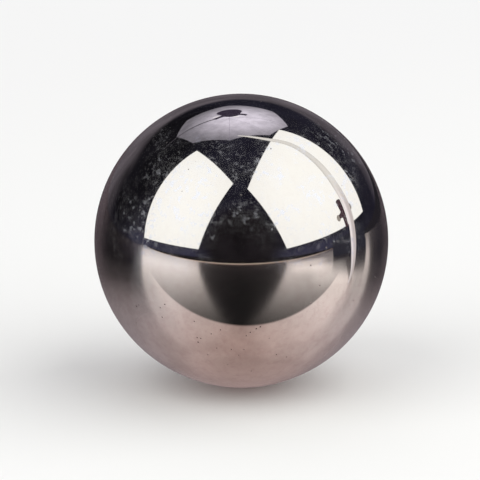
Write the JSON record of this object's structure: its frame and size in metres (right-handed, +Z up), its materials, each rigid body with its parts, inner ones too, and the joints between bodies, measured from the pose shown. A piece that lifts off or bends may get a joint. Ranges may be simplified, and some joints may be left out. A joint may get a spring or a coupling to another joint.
{
  "type": "steel ball",
  "caption": "Solid steel ball with a lapped mirror finish, for use as a rolling element, valve ball, drop weight or desk piece.",
  "frame": {"origin": "centre of the ball", "axes": "+Z up, away from what the ball lies on; X and Y are level, and the ball is the same about every axis"},
  "size_m": [0.0508, 0.0508, 0.0508],
  "materials": {
    "polished_steel": "lapped mirror finish, with fine dust and faint dark specks"
  },
  "bodies": {
    "root": {"steel_ball": "polished_steel"}
  },
  "joints": []
}
